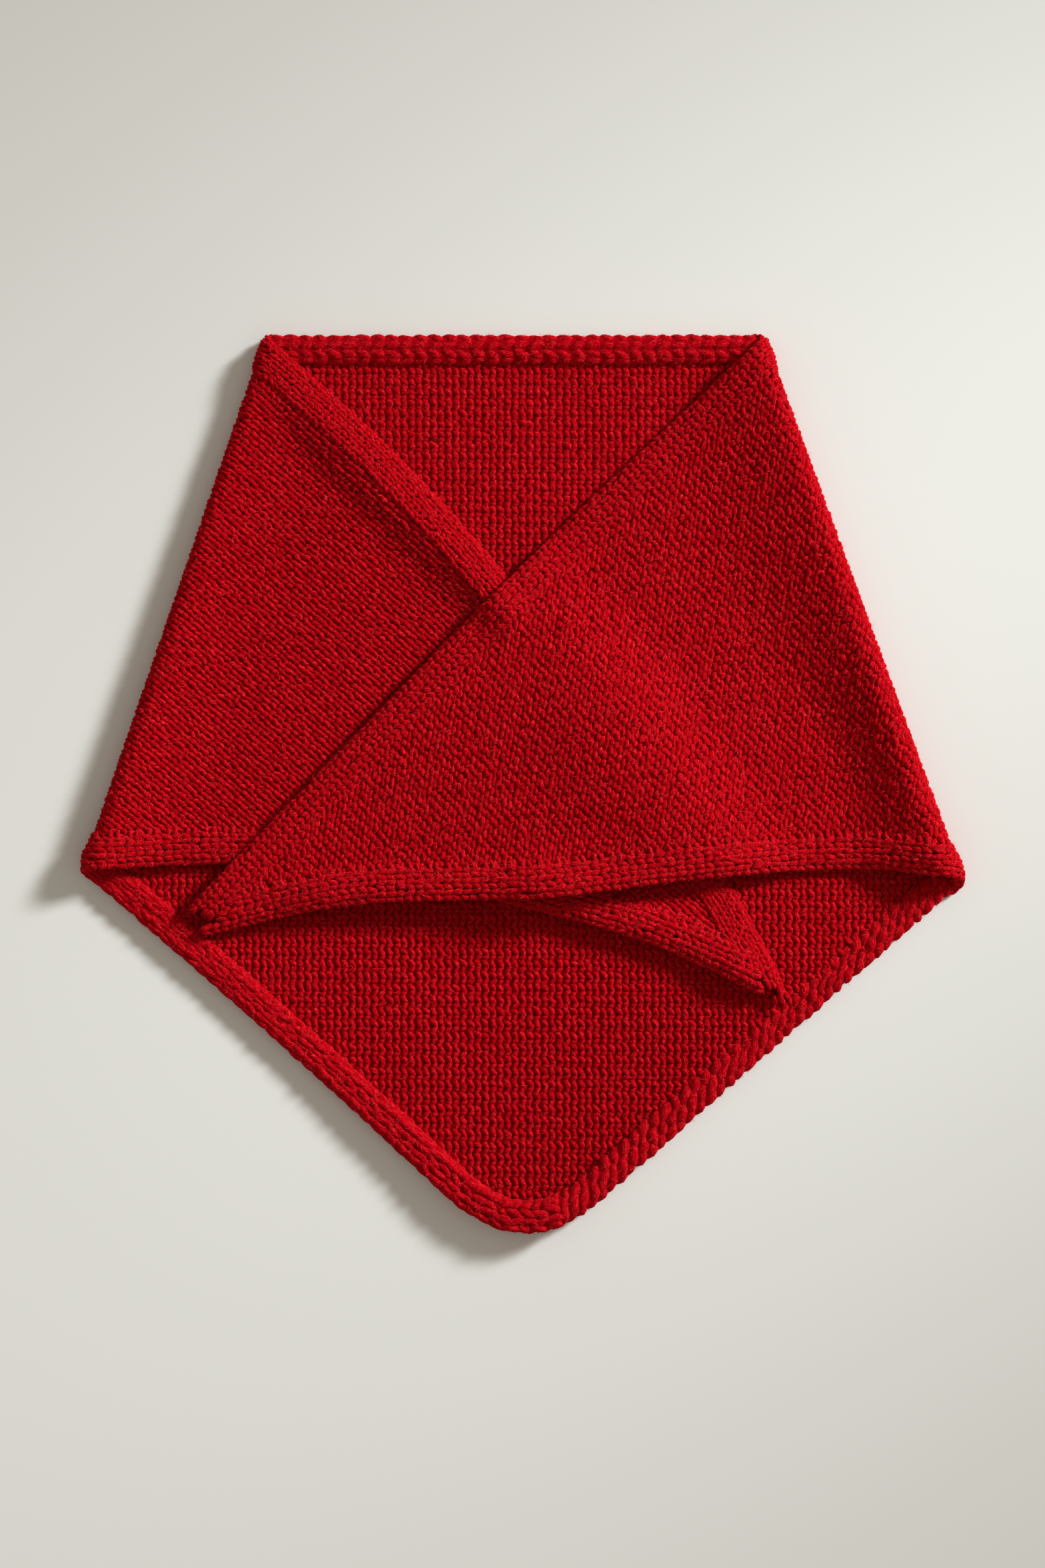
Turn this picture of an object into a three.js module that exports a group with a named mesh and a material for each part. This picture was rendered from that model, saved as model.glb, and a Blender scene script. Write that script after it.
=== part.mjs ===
// A knitted wool bandana, laid flat on a table with its two wings folded over its front.
//
// The cloth is one shallow triangle with a knitted cord edge all round. Its middle lies
// face down, and each wing turns over a soft roll along a slanting fold and lies on top,
// the right wing over the left one. Millimetres, +Z up. The origin is on the table, under
// the middle of the outline; +X is to the right and +Y is towards the neck edge.

import * as THREE from 'three';

// ---------------------------------------------------------------- driving dimensions

const WALL = 2.6; // thickness of the knitted cloth
const GAP = 0.3; // clearance at seams and between layers

const NECK_Y = 165.7;
const NECK_LEFT = new THREE.Vector2(-95.3, NECK_Y); // corners of the folded outline
const NECK_RIGHT = new THREE.Vector2(89.4, NECK_Y);
const SIDE_LEFT = new THREE.Vector2(-163.4, -32.5);
const SIDE_RIGHT = new THREE.Vector2(163.4, -36.5);
const POINT_LEFT = new THREE.Vector2(-30, -151); // where the bottom point starts to turn
const POINT_TIP = new THREE.Vector2(0.3, -179.9);
const POINT_RIGHT = new THREE.Vector2(30, -153.5);
const LEG_BOW = new THREE.Vector2(-96, -89.3); // steers the left leg, slightly hollow

const EDGE_WIDTH = 12; // cord edge on the wings
const EDGE_PROUD = 1; // and how far it stands above the cloth
const PROUD_FROM = 12; // reach at which it stands its full height
const RIM = 0.35; // half its thickness at its outer line, as a share of the wall
const BACK_EDGE_WIDTH = 11; // cord edge on the back, where it lies on the table
const NECK_EDGE_HEIGHT = 5.4;

// Height of the cord edge down the two legs of the back, from the side corner (0) to the
// bottom point (1). The left one rolls up more and more towards the point.
const LEG_EDGE_HEIGHTS = [
  { along: 0.0, left: 4.6, right: 4.6 },
  { along: 0.5, left: 5.8, right: 4.8 },
  { along: 0.8, left: 8.4, right: 5.6 },
  { along: 1.0, left: 10.4, right: 10.4 },
];

// Each wing in its own flat frame: reach is the distance from the fold into the wing, and
// upper and lower are how far down the fold its neck edge and its hem lie at that reach.
const LEFT_SECTIONS = [
  { reach: -8, upper: -2.8, lower: 213.0 },
  { reach: 0, upper: 0, lower: 209.9 },
  { reach: 46, upper: 19.1, lower: 191.9 },
  { reach: 80, upper: 35.8, lower: 181.6 },
  { reach: 114, upper: 55.0, lower: 174.4 },
  { reach: 160, upper: 83.9, lower: 169.2 },
  { reach: 204, upper: 115.6, lower: 166.6 },
  { reach: 232, upper: 137.7, lower: 168.4 },
  { reach: 251, upper: 155.2, lower: 170.9 },
  { reach: 264, upper: 168.7, lower: 173.0 },
];
const RIGHT_SECTIONS = [
  { reach: -8, upper: -2.8, lower: 219.2 },
  { reach: 0, upper: 0, lower: 215.6 },
  { reach: 33, upper: 14.1, lower: 199.3 },
  { reach: 88, upper: 37.2, lower: 182.1 },
  { reach: 145, upper: 63.4, lower: 168.8 },
  { reach: 173, upper: 76.8, lower: 159.8 },
  { reach: 200, upper: 89.9, lower: 150.6 },
  { reach: 220, upper: 99.5, lower: 144.8 },
  { reach: 243, upper: 110.5, lower: 141.0 },
  { reach: 274, upper: 125.4, lower: 137.6 },
];

// Soft ridges of each wing, in its flat frame: a line from one place to another, how far
// it spreads to either side and how high it stands.
const LEFT_RIDGES = [
  { from: [14, 18], to: [118, 68], spread: 8, height: 3.3 }, // rolled neck edge
  { from: [165, 161], to: [236, 162], spread: 13, height: 3.0 }, // hem of the free end
  { from: [246, 166], to: [262, 170], spread: 11, height: 3.4 }, // tip, on the leg's edge
];
const RIGHT_RIDGES = [
  { from: [60, 186], to: [130, 168], spread: 14, height: 1.2 }, // hem, before the left wing
  { from: [108, 110], to: [95, 162], spread: 26, height: 4.6 }, // where it climbs the left wing
  { from: [150, 110], to: [135, 150], spread: 40, height: 2.0 }, // and a softer rise behind
  { from: [120, 180], to: [225, 146], spread: 12, height: 1.8 }, // hem over the left wing
  { from: [105, 44], to: [255, 116], spread: 8, height: -0.5 }, // neck edge, pressed down
  { from: [262, 128], to: [274, 132], spread: 9, height: 1.2 }, // tip
];

const REST_LEFT = 4.7; // middle of the left wing's cloth where it lies on the back
const REST_RIGHT = 4.9; // and of the right wing's
const STACK = 4.5; // from the left wing up to the right wing lying on it
const CLIMB = 28; // over which the right wing climbs onto the left one
const CLIMB_MARGIN = 2; // all the way up this far outside the left wing's edges

// How far past its roll a wing comes down to rest: at most, and how much sooner at the
// steepest place along its fold.
const LEFT_LAP = { most: 32, less: 0 };
const RIGHT_LAP = { most: 44, less: 18 };
const STEEPEST = 0.72; // share of the way down the fold
const STEEP_SPREAD = 0.25;
const LAP_BEND = 0.7; // below 1, steeper near the roll than further in

const ROLL_STEPS = 8; // facets round a fold's roll
const WING_STEPS = 24; // and from the start of its roll to the end of the wing
const WING_COLUMNS = 10;
const EDGE_STEPS = 34;
const LEG_STEPS = 26;
const NECK_STEPS = 6;
const OUTLINE_STEPS = 20; // along each leg of the back's outline
const LEG_START = 0.035; // where the back's cord edges start, as a share of the leg
const LEG_MITRE = 0.2; // over which their cut turns from beside the roll to square

const LEFT = makeWing(NECK_LEFT, SIDE_LEFT, LEFT_SECTIONS, [3.3, 4.6], LEFT_LAP);
const RIGHT = makeWing(NECK_RIGHT, SIDE_RIGHT, RIGHT_SECTIONS, [4.5, 5.9], RIGHT_LAP);
RIGHT.inward.negate();

// ---------------------------------------------------------------- small helpers

const mix = THREE.MathUtils.lerp;
const ease = (x) => THREE.MathUtils.smoothstep(x, 0, 1);
const bell = (x) => Math.exp(-x * x);

// A smooth curve through one column of a table, as a function of another.
function through(rows, key, column) {
  const slope = (i) => {
    const a = rows[Math.max(i - 1, 0)];
    const b = rows[Math.min(i + 1, rows.length - 1)];
    return (b[column] - a[column]) / (b[key] - a[key]);
  };
  return (x) => {
    let i = 0;
    while (i < rows.length - 2 && x > rows[i + 1][key]) i += 1;
    const step = rows[i + 1][key] - rows[i][key];
    const u = (x - rows[i][key]) / step;
    const rise = rows[i + 1][column] - rows[i][column];
    const bendIn = slope(i) * step - rise;
    const bendOut = rise - slope(i + 1) * step;
    return rows[i][column] + u * rise + u * (1 - u) * (bendIn * (1 - u) + bendOut * u);
  };
}

function distanceToLine(x, y, from, to) {
  const dx = to[0] - from[0];
  const dy = to[1] - from[1];
  const along = ((x - from[0]) * dx + (y - from[1]) * dy) / (dx * dx + dy * dy);
  const u = THREE.MathUtils.clamp(along, 0, 1);
  return Math.hypot(x - from[0] - u * dx, y - from[1] - u * dy);
}

function ridgesAt(ridges, reach, down) {
  let sum = 0;
  for (const { from, to, spread, height } of ridges) {
    sum += height * bell(distanceToLine(reach, down, from, to) / spread);
  }
  return sum;
}

// ---------------------------------------------------------------- the wings

// rolls are the radius of the fold, at the middle of the cloth, at the neck corner and at
// the side corner.
function makeWing(corner, sideCorner, sections, rolls, lap) {
  const down = sideCorner.clone().sub(corner);
  const length = down.length();
  down.normalize();
  return {
    corner,
    down,
    inward: new THREE.Vector2(-down.y, down.x),
    roll: (t) => mix(rolls[0], rolls[1], THREE.MathUtils.clamp(t / length, 0, 1)),
    lap: (t) => lap.most - lap.less * bell((t / length - STEEPEST) / STEEP_SPREAD),
    upper: through(sections, 'reach', 'upper'),
    lower: through(sections, 'reach', 'lower'),
  };
}

// Flat frame of a wing from a place on the table.
function flatPlace(wing, x, y) {
  const from = new THREE.Vector2(x, y).sub(wing.corner);
  const t = from.dot(wing.down);
  const roll = wing.roll(t);
  return [from.dot(wing.inward) - WALL / 2 + roll * (Math.PI / 2 - 1), t];
}

const slopeOf = (edge, reach) => (edge(reach + 1) - edge(reach - 1)) / 2;

// How far inside a wing's outline a place is; negative outside it.
function inside(wing, reach, t) {
  const fromUpper = (t - wing.upper(reach)) / Math.hypot(1, slopeOf(wing.upper, reach));
  const fromLower = (wing.lower(reach) - t) / Math.hypot(1, slopeOf(wing.lower, reach));
  return Math.min(fromUpper, fromLower);
}

function restingHeight(wing, x, y) {
  const [reach, t] = flatPlace(wing, x, y);
  if (wing === LEFT) return REST_LEFT + ridgesAt(LEFT_RIDGES, reach, t);
  const [leftReach, leftT] = flatPlace(LEFT, x, y);
  const cover = ease((inside(LEFT, leftReach, leftT) + CLIMB_MARGIN + CLIMB) / CLIMB);
  const onLeft = restingHeight(LEFT, x, y) + STACK;
  return mix(REST_RIGHT, onLeft, cover) + ridgesAt(RIGHT_RIDGES, reach, t);
}

// The middle of a wing's cloth. A negative reach is the half of the fold's roll that runs
// back under the wing, down to the table.
function clothMiddle(wing, reach, t) {
  const roll = wing.roll(t);
  const turn = Math.min(reach / roll, Math.PI / 2);
  const past = Math.max(reach - (roll * Math.PI) / 2, 0);
  const inset = WALL / 2 + roll * (1 - Math.cos(turn)) + past;
  const x = wing.corner.x + wing.down.x * t + wing.inward.x * inset;
  const y = wing.corner.y + wing.down.y * t + wing.inward.y * inset;
  const onRoll = WALL / 2 + roll * (1 + Math.sin(turn));
  const fallen = ease(Math.min(past / wing.lap(t), 1) ** LAP_BEND);
  const z = past > 0 ? mix(onRoll, restingHeight(wing, x, y), fallen) : onRoll;
  return new THREE.Vector3(x, y, z);
}

// A place on the cloth, moved out along its outward side.
function clothPoint(wing, reach, t, out) {
  const step = 0.4;
  const acrossFold = clothMiddle(wing, reach + step, t).sub(clothMiddle(wing, reach - step, t));
  const alongFold = clothMiddle(wing, reach, t + step).sub(clothMiddle(wing, reach, t - step));
  const normal = acrossFold.cross(alongFold).normalize();
  if (wing === LEFT) normal.negate();
  return clothMiddle(wing, reach, t).addScaledVector(normal, out);
}

// ---------------------------------------------------------------- closed shells

// One closed body between two grids of points, front and back, of the same size.
function shell(front, back) {
  const rows = front.length;
  const columns = front[0].length;
  const positions = [];
  for (const grid of [front, back]) {
    for (const row of grid) for (const p of row) positions.push(p.x, p.y, p.z);
  }
  const at = (side, i, j) => (side * rows + i) * columns + j;
  const index = [];
  const quad = (a, b, c, d) => index.push(a, b, c, a, c, d);
  for (let i = 0; i < rows - 1; i += 1) {
    for (let j = 0; j < columns - 1; j += 1) {
      quad(at(0, i, j), at(0, i + 1, j), at(0, i + 1, j + 1), at(0, i, j + 1));
      quad(at(1, i, j), at(1, i, j + 1), at(1, i + 1, j + 1), at(1, i + 1, j));
    }
    quad(at(0, i, 0), at(1, i, 0), at(1, i + 1, 0), at(0, i + 1, 0));
    const last = columns - 1;
    quad(at(0, i, last), at(0, i + 1, last), at(1, i + 1, last), at(1, i, last));
  }
  for (let j = 0; j < columns - 1; j += 1) {
    quad(at(0, 0, j), at(0, 0, j + 1), at(1, 0, j + 1), at(1, 0, j));
    const last = rows - 1;
    quad(at(0, last, j), at(1, last, j), at(1, last, j + 1), at(0, last, j + 1));
  }
  const geometry = new THREE.BufferGeometry();
  geometry.setAttribute('position', new THREE.Float32BufferAttribute(positions, 3));
  geometry.setIndex(volumeOf(positions, index) < 0 ? flipped(index) : index);
  geometry.computeVertexNormals();
  return geometry;
}

function flipped(index) {
  const turned = [];
  for (let i = 0; i < index.length; i += 3) turned.push(index[i], index[i + 2], index[i + 1]);
  return turned;
}

function volumeOf(positions, index) {
  const corner = (k) => new THREE.Vector3().fromArray(positions, 3 * index[k]);
  let sum = 0;
  for (let k = 0; k < index.length; k += 3) {
    sum += corner(k).dot(corner(k + 1).cross(corner(k + 2)));
  }
  return sum / 6;
}

const spaced = (count, place) => Array.from({ length: count + 1 }, (_, i) => place(i / count));

// ---------------------------------------------------------------- pieces of a wing

// Cord edge of a wing: across is 0 on its outer line and 1 on its inner one, and profile
// is how much of its full height it has there.
const EDGE_PROFILE = [
  { across: 0, part: 0.0 },
  { across: 0.18, part: 0.8 },
  { across: 0.5, part: 1.0 },
  { across: 0.82, part: 0.8 },
  { across: 1, part: 0.0 },
];

// Reach at a step along a wing: round the fold's roll first, then on to a given end.
function reachAt(wing, t, step, steps, end) {
  const quarter = (wing.roll(t) * Math.PI) / 2;
  if (step <= ROLL_STEPS) return mix(-quarter, quarter, step / ROLL_STEPS);
  return mix(quarter, end, (step - ROLL_STEPS) / (steps - ROLL_STEPS));
}

// How far down the fold a line lies that keeps its distance from one edge of the wing.
function alongEdge(edge, reach, offset) {
  return edge(reach) + offset * Math.hypot(1, slopeOf(edge, reach));
}

// outerEnd and innerEnd are the reach at which the two sides of the cord edge stop.
function wingEdge(wing, edge, side, outerEnd, innerEnd) {
  const section = (step, direction) =>
    EDGE_PROFILE.map(({ across, part }) => {
      const end = mix(outerEnd, innerEnd, across);
      const reach = reachAt(wing, edge(0), step, EDGE_STEPS, end);
      const t = alongEdge(edge, reach, side * EDGE_WIDTH * across);
      const proud = EDGE_PROUD * part * ease(reach / PROUD_FROM);
      const half = WALL * (across === 0 ? RIM : 0.5);
      return clothPoint(wing, reach, t, direction > 0 ? half + proud : -half);
    });
  const sections = (out) => spaced(EDGE_STEPS, (u) => section(u * EDGE_STEPS, out));
  return shell(sections(1), sections(-1));
}

// The cloth between the two cord edges, up to where they meet.
function wingBody(wing, end) {
  const inset = EDGE_WIDTH + GAP;
  const section = (step, out) =>
    spaced(WING_COLUMNS, (v) => {
      const foldT = mix(wing.upper(0), wing.lower(0), v);
      const reach = reachAt(wing, foldT, step, WING_STEPS, end);
      const top = alongEdge(wing.upper, reach, inset);
      const bottom = alongEdge(wing.lower, reach, -inset);
      return clothPoint(wing, reach, mix(top, bottom, v), out);
    });
  const sections = (out) => spaced(WING_STEPS, (u) => section(u * WING_STEPS, out));
  return shell(sections(WALL / 2), sections(-WALL / 2));
}

// ---------------------------------------------------------------- pieces of the back

// Where the back stops beside a wing's roll, at a given height up the outline.
function besideRoll(wing, y) {
  const inset = WALL / 2 + wing.roll((wing.corner.y - y) / -wing.down.y) + GAP;
  const t = (wing.corner.y + wing.inward.y * inset - y) / -wing.down.y;
  return wing.corner.clone().addScaledVector(wing.down, t).addScaledVector(wing.inward, inset);
}

const leftLeg = new THREE.CurvePath();
leftLeg.add(new THREE.QuadraticBezierCurve(SIDE_LEFT, LEG_BOW, POINT_LEFT));
leftLeg.add(pointHalf(POINT_LEFT, POINT_RIGHT));
const rightLeg = new THREE.CurvePath();
rightLeg.add(new THREE.LineCurve(SIDE_RIGHT, POINT_RIGHT));
rightLeg.add(pointHalf(POINT_RIGHT, POINT_LEFT));

// Half of the rounded bottom point, from one side of it to its middle.
function pointHalf(start, far) {
  const nearControl = start.clone().lerp(POINT_TIP, 0.5);
  const farControl = far.clone().lerp(POINT_TIP, 0.5);
  const middle = nearControl.clone().lerp(farControl, 0.5);
  return new THREE.QuadraticBezierCurve(start, nearControl, middle);
}

// Place a given distance inside a leg of the outline, u of the way down it.
function squarePlace(leg, u, offset) {
  const tangent = leg.getTangentAt(u);
  const across = new THREE.Vector2(-tangent.y, tangent.x);
  if (across.y < 0) across.negate();
  return leg.getPointAt(u).addScaledVector(across, offset);
}

// The same, but near the side corner the cut across the leg turns, until at LEG_START it
// runs beside the wing's roll.
function legPlace(leg, wing, u, offset) {
  const insetOf = (place) => place.clone().sub(wing.corner).dot(wing.inward);
  const start = squarePlace(leg, LEG_START, offset);
  const besideInset = WALL / 2 + wing.roll(Infinity) + GAP;
  const tangent = leg.getTangentAt(u);
  const short = (besideInset - insetOf(start)) * (1 - ease((u - LEG_START) / LEG_MITRE));
  return squarePlace(leg, u, offset).addScaledVector(tangent, short / tangent.dot(wing.inward));
}

// A bar with a flat underside on the table, between two lines, with a rounded top.
const BAR_PROFILE = [
  { across: 0, part: 0.42 },
  { across: 0.12, part: 0.78 },
  { across: 0.35, part: 1.0 },
  { across: 0.65, part: 1.0 },
  { across: 0.88, part: 0.78 },
  { across: 1, part: 0.42 },
];

function tableBar(steps, lines, heightAt) {
  const section = (u, isTop) =>
    BAR_PROFILE.map(({ across, part }) => {
      const [outer, inner] = lines(u);
      const x = mix(outer.x, inner.x, across);
      const y = mix(outer.y, inner.y, across);
      return new THREE.Vector3(x, y, isTop ? heightAt(u) * part : 0);
    });
  return shell(spaced(steps, (u) => section(u, true)), spaced(steps, (u) => section(u, false)));
}

function legEdge(leg, wing, column) {
  const heights = through(LEG_EDGE_HEIGHTS, 'along', column);
  const last = 1 - GAP / 2 / leg.getLength();
  const lines = (u) => {
    const along = mix(LEG_START, last, u);
    return [legPlace(leg, wing, along, 0), legPlace(leg, wing, along, BACK_EDGE_WIDTH)];
  };
  return tableBar(LEG_STEPS, lines, heights);
}

function neckEdge() {
  const across = (y, u) => besideRoll(LEFT, y).lerp(besideRoll(RIGHT, y), u);
  const lines = (u) => [across(NECK_Y, u), across(NECK_Y - BACK_EDGE_WIDTH, u)];
  return tableBar(NECK_STEPS, lines, () => NECK_EDGE_HEIGHT);
}

// The cloth of the back: one flat piece on the table, inside the cord edges and the rolls.
function backPanel() {
  const inset = BACK_EDGE_WIDTH + GAP;
  const top = NECK_Y - inset;
  const outline = [];
  for (let i = 0; i <= OUTLINE_STEPS; i += 1) {
    outline.push(legPlace(leftLeg, LEFT, mix(LEG_START, 1, i / OUTLINE_STEPS), inset));
  }
  for (let i = OUTLINE_STEPS - 1; i >= 0; i -= 1) {
    outline.push(legPlace(rightLeg, RIGHT, mix(LEG_START, 1, i / OUTLINE_STEPS), inset));
  }
  outline.push(besideRoll(RIGHT, top), besideRoll(LEFT, top));
  const shape = new THREE.Shape(outline);
  return new THREE.ExtrudeGeometry(shape, { depth: WALL, bevelEnabled: false });
}

// ---------------------------------------------------------------- assembly

function woolPiece(name, geometry, colour) {
  const material = new THREE.MeshStandardMaterial({ color: colour, roughness: 0.95, metalness: 0 });
  const mesh = new THREE.Mesh(geometry, material);
  mesh.name = name;
  return mesh;
}

const RED = 0xb3121a;
const RED_EDGE = 0xa00f17;

const bandana = new THREE.Group();
bandana.add(
  woolPiece('back_panel', backPanel(), RED),
  woolPiece('back_neck_edge', neckEdge(), RED_EDGE),
  woolPiece('back_left_edge', legEdge(leftLeg, LEFT, 'left'), RED_EDGE),
  woolPiece('back_right_edge', legEdge(rightLeg, RIGHT, 'right'), RED_EDGE),
  woolPiece('left_wing', wingBody(LEFT, 232.5), RED),
  woolPiece('left_wing_neck_edge', wingEdge(LEFT, LEFT.upper, 1, 263.4, 250.3), RED_EDGE),
  woolPiece('left_wing_hem_edge', wingEdge(LEFT, LEFT.lower, -1, 249, 234.5), RED_EDGE),
  woolPiece('right_wing', wingBody(RIGHT, 247), RED),
  woolPiece('right_wing_neck_edge', wingEdge(RIGHT, RIGHT.upper, 1, 273.5, 268.7), RED_EDGE),
  woolPiece('right_wing_hem_edge', wingEdge(RIGHT, RIGHT.lower, -1, 268.4, 249.5), RED_EDGE),
);

export default bandana;
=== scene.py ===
"""A knitted wool bandana, laid flat with both wings folded over its front.

The cloth is real yarn: every stitch is a stretch of tube that follows the loop of a
stockinette stitch, laid out on the same surfaces as the solids of the frame. A thin shell
under the yarn closes the holes between the stitches, and its darker red paints the shade
in them. Sizes are in millimetres up to the last step, which makes the meshes in metres.
"""

import bpy
import numpy as np
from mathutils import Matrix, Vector


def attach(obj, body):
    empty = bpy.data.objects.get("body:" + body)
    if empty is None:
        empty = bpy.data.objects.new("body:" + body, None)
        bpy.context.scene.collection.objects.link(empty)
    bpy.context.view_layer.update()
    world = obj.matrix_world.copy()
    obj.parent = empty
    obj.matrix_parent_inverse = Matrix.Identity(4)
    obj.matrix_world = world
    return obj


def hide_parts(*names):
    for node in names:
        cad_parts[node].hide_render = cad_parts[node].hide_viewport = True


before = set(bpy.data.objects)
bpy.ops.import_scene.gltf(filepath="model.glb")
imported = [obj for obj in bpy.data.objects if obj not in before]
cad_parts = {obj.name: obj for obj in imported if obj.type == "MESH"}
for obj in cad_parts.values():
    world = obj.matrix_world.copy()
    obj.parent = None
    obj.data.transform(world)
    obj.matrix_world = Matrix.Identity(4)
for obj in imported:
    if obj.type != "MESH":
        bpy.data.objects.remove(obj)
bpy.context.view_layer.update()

MM = 0.001
rng = np.random.default_rng(11)

# ---------------------------------------------------------------- sizes of the cloth

NECK_LEFT = np.array([-95.3, 165.7])
NECK_RIGHT = np.array([89.4, 165.7])
SIDE_LEFT = np.array([-163.4, -32.5])
SIDE_RIGHT = np.array([163.4, -36.5])
POINT_LEFT = np.array([-30.0, -151.0])
POINT_TIP = np.array([0.3, -179.9])
POINT_RIGHT = np.array([30.0, -153.5])
LEG_BOW = np.array([-96.0, -89.3])

LIE = 1.3  # from the middle of the cloth to the table or to the roll's outer side
EDGE_WIDTH = 12.0  # cord edge on the wings
BACK_EDGE_WIDTH = 11.0  # cord edge on the back, where it lies on the table
LEFT_ROLLS, RIGHT_ROLLS = (3.3, 4.6), (4.5, 5.9)  # radius of a fold, at its top and bottom

# Each wing in its own flat frame: reach from the fold, and how far down the fold its
# neck edge (upper) and its hem (lower) lie at that reach.
LEFT_SECTIONS = np.array(
    [
        (-8, -2.8, 213.0),
        (0, 0, 209.9),
        (46, 19.1, 191.9),
        (80, 35.8, 181.6),
        (114, 55.0, 174.4),
        (160, 83.9, 169.2),
        (204, 115.6, 166.6),
        (232, 137.7, 168.4),
        (251, 155.2, 170.9),
        (264, 168.7, 173.0),
    ]
)
RIGHT_SECTIONS = np.array(
    [
        (-8, -2.8, 219.2),
        (0, 0, 215.6),
        (33, 14.1, 199.3),
        (88, 37.2, 182.1),
        (145, 63.4, 168.8),
        (173, 76.8, 159.8),
        (200, 89.9, 150.6),
        (220, 99.5, 144.8),
        (243, 110.5, 141.0),
        (274, 125.4, 137.6),
    ]
)

# Soft ridges in a wing's flat frame: from, to, spread, height.
LEFT_RIDGES = [
    ((14, 18), (118, 68), 8, 3.3),
    ((165, 161), (236, 162), 13, 3.0),
    ((246, 166), (262, 170), 11, 3.4),
]
RIGHT_RIDGES = [
    ((108, 110), (95, 162), 26, 4.6),
    ((150, 110), (135, 150), 40, 2.0),
    ((120, 180), (225, 146), 12, 1.8),
    ((105, 44), (255, 116), 8, -0.5),
    ((262, 128), (274, 132), 9, 1.2),
]

REST_LEFT = 4.7  # middle of the left wing's cloth where it lies on the back
REST_RIGHT = 4.9  # and of the right wing's
STACK = 4.5  # from the left wing up to the right wing lying on it
CLIMB = 28.0  # over which the right wing climbs onto the left one
CLIMB_MARGIN = 2.0  # all the way up this far outside the left wing's edges
# How far past its roll a wing settles: at most, and how much less where it is steepest.
LEFT_LAP, RIGHT_LAP = (32.0, 0.0), (44.0, 18.0)
STEEPEST, STEEP_SPREAD = 0.72, 0.25  # shares of the fold's length
LAP_BEND = 0.7  # below 1, steeper near the roll than further in

# ---------------------------------------------------------------- small helpers


def ease(x):
    x = np.clip(x, 0, 1)
    return x * x * (3 - 2 * x)


def mix(a, b, u):
    return a + (b - a) * u


def unit(v):
    return v / np.maximum(np.linalg.norm(v, axis=-1, keepdims=True), 1e-9)


def through(xs, ys):
    """A smooth curve through a table's points."""
    last, rows = len(xs) - 1, np.arange(len(xs))
    before, after = np.maximum(rows - 1, 0), np.minimum(rows + 1, last)
    slopes = (ys[after] - ys[before]) / (xs[after] - xs[before])

    def curve(x):
        i = np.clip(np.searchsorted(xs, x, side="left") - 1, 0, last - 1)
        step, rise = xs[i + 1] - xs[i], ys[i + 1] - ys[i]
        u = (x - xs[i]) / step
        bend_in, bend_out = slopes[i] * step - rise, rise - slopes[i + 1] * step
        return ys[i] + u * rise + u * (1 - u) * (bend_in * (1 - u) + bend_out * u)

    return curve


def ridges_at(ridges, reach, down):
    """How high the ridges stand at a place in a wing's flat frame."""
    total = 0
    for start, end, spread, height in ridges:
        dx, dy = end[0] - start[0], end[1] - start[1]
        along = ((reach - start[0]) * dx + (down - start[1]) * dy) / (dx * dx + dy * dy)
        u = np.clip(along, 0, 1)
        away = np.hypot(reach - start[0] - u * dx, down - start[1] - u * dy)
        total = total + height * np.exp(-((away / spread) ** 2))
    return total


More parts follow.
